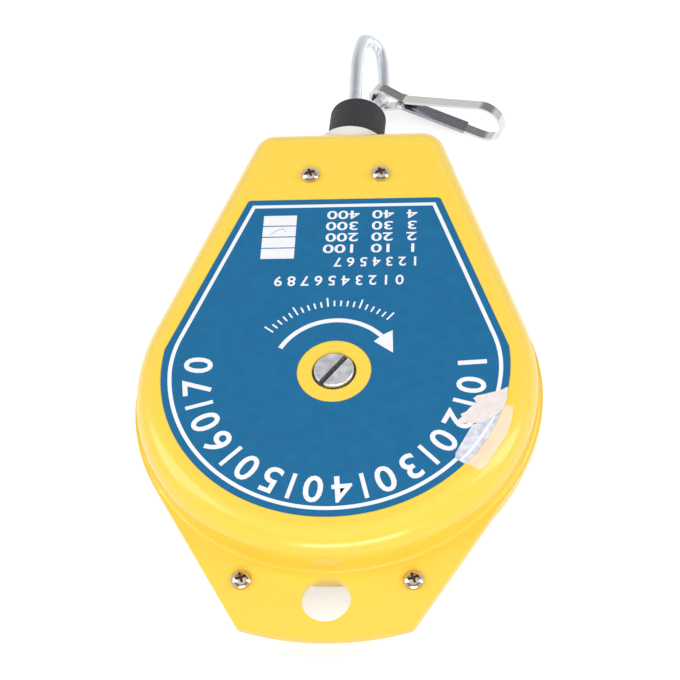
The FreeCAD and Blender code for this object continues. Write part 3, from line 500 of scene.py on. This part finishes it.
# ---------------------------------------------------------------- studio
FLOOR_SIZE = 6.0
FLOOR_Z = -0.0002
FLOOR_GREY = 0.55
FLOOR_ROUGH, FLOOR_SPECULAR = 0.9, 0.1
GLOW_NEAR, GLOW_FAR = 0.35, 1.3           # metres over which the floor's glow fades
GLOW_HIGH, GLOW_LOW = 0.62, 0.34
TENT_BANDS = ((0.50, 0.85), (0.66, 0.28), (0.84, 0.30), (0.92, 1.0))   # height, level
TENT_BOTTOM, TENT_TOP = 0.72, 1.0
TENT_STRENGTH = 0.95
LIGHT_AIM = (0, 0.02, 0.01)


def seen_white(tree, shader, strength):
    """Adds white that camera, glossy and clear rays see, and that lights nothing else."""
    path = node_of(tree, "ShaderNodeLightPath")
    total = path.outputs["Is Camera Ray"]
    for ray in ("Is Glossy Ray", "Is Transmission Ray"):
        either = node_of(tree, "ShaderNodeMath", operation="MAXIMUM")
        tree.links.new(total, either.inputs[0])
        tree.links.new(path.outputs[ray], either.inputs[1])
        total = either.outputs[0]
    level = node_of(tree, "ShaderNodeMath", operation="MULTIPLY")
    tree.links.new(total, level.inputs[0])
    tree.links.new(strength, level.inputs[1])
    glow = node_of(tree, "ShaderNodeEmission")
    tree.links.new(level.outputs[0], glow.inputs["Strength"])
    both = node_of(tree, "ShaderNodeAddShader")
    tree.links.new(shader.outputs[0], both.inputs[0])
    tree.links.new(glow.outputs[0], both.inputs[1])
    return both.outputs[0]


def map_range(tree, source, from_min, from_max, to_min, to_max):
    node = node_of(tree, "ShaderNodeMapRange")
    for socket, value in (("From Min", from_min), ("From Max", from_max),
                          ("To Min", to_min), ("To Max", to_max)):
        node.inputs[socket].default_value = value
    tree.links.new(source, node.inputs["Value"])
    return node.outputs["Result"]


def make_floor():
    """White paper that falls off to grey further away."""
    bpy.ops.mesh.primitive_plane_add(size=FLOOR_SIZE, location=(0, 0, FLOOR_Z))
    floor = bpy.context.object
    floor.name = "floor"
    material = bpy.data.materials.new("floor_white")
    material.use_nodes = True
    tree = material.node_tree
    shader = tree.nodes["Principled BSDF"]
    shader.inputs["Base Color"].default_value = (FLOOR_GREY, FLOOR_GREY, FLOOR_GREY, 1)
    shader.inputs["Roughness"].default_value = FLOOR_ROUGH
    shader.inputs["Specular IOR Level"].default_value = FLOOR_SPECULAR
    where = node_of(tree, "ShaderNodeTexCoord")
    far = node_of(tree, "ShaderNodeVectorMath", operation="LENGTH")
    tree.links.new(where.outputs["Object"], far.inputs[0])
    strength = map_range(tree, far.outputs["Value"],
                         GLOW_NEAR, GLOW_FAR, GLOW_HIGH, GLOW_LOW)
    tree.links.new(seen_white(tree, shader, strength),
                   tree.nodes["Material Output"].inputs["Surface"])
    floor.data.materials.append(material)


def make_world():
    """Light tent: pale walls, a darker band above them and a bright top."""
    world = bpy.data.worlds.new("studio")
    bpy.context.scene.world = world
    world.use_nodes = True
    tree = world.node_tree
    where = node_of(tree, "ShaderNodeTexCoord")
    parts = node_of(tree, "ShaderNodeSeparateXYZ")
    tree.links.new(where.outputs["Generated"], parts.inputs[0])
    bands = node_of(tree, "ShaderNodeValToRGB")
    stops = bands.color_ramp.elements
    for height, level in TENT_BANDS:
        stop = stops.new(height)
        stop.color = (level, level, level, 1)
    stops[0].color = (TENT_BOTTOM, TENT_BOTTOM, TENT_BOTTOM, 1)
    stops[-1].color = (TENT_TOP, TENT_TOP, TENT_TOP, 1)
    tree.links.new(parts.outputs["Z"], bands.inputs["Fac"])
    tree.links.new(bands.outputs["Color"], tree.nodes["Background"].inputs["Color"])
    tree.nodes["Background"].inputs["Strength"].default_value = TENT_STRENGTH


def area_light(name, place, size, power):
    light = bpy.data.lights.new(name, "AREA")
    light.shape = "RECTANGLE"
    light.size, light.size_y = size
    light.energy = power
    obj = bpy.data.objects.new(name, light)
    obj.location = place
    way = Vector(LIGHT_AIM) - Vector(place)
    obj.rotation_euler = way.to_track_quat("-Z", "Y").to_euler()
    bpy.context.scene.collection.objects.link(obj)


def make_lights():
    area_light("softbox_left", (-0.80, 0.10, 0.80), (0.5, 0.8), 3.9)
    area_light("softbox_right", (0.85, 0.05, 0.60), (0.3, 0.8), 2.9)
    area_light("softbox_front", (0.10, -0.95, 0.60), (0.9, 0.3), 5.2)


CAMERA_PLACE = (0.05207, -0.30686, 0.46492)
CAMERA_AXES = ((0.99556, 0.01121, 0.09351),
               (0.04603, 0.80835, -0.58690),
               (-0.08217, 0.58859, 0.80424))
CAMERA_LENS = 92.42
CAMERA_SENSOR = 36
CAMERA_CLIP = 0.01


def make_camera():
    data = bpy.data.cameras.new("camera")
    data.lens = CAMERA_LENS
    data.sensor_width = CAMERA_SENSOR
    data.clip_start = CAMERA_CLIP
    camera = bpy.data.objects.new("camera", data)
    camera.matrix_world = Matrix.Translation(CAMERA_PLACE) @ Matrix(CAMERA_AXES).to_4x4()
    bpy.context.scene.collection.objects.link(camera)
    bpy.context.scene.camera = camera


def main():
    bpy.context.scene.view_settings.view_transform = "Standard"
    materials = make_materials()
    paint_nodes(materials)
    print_label(materials)
    torn_sticker(materials)
    chip_and_slot_shade(materials)
    screw_recess_shade(materials)
    draw_cable(materials)
    make_floor()
    make_world()
    make_lights()
    make_camera()


main()
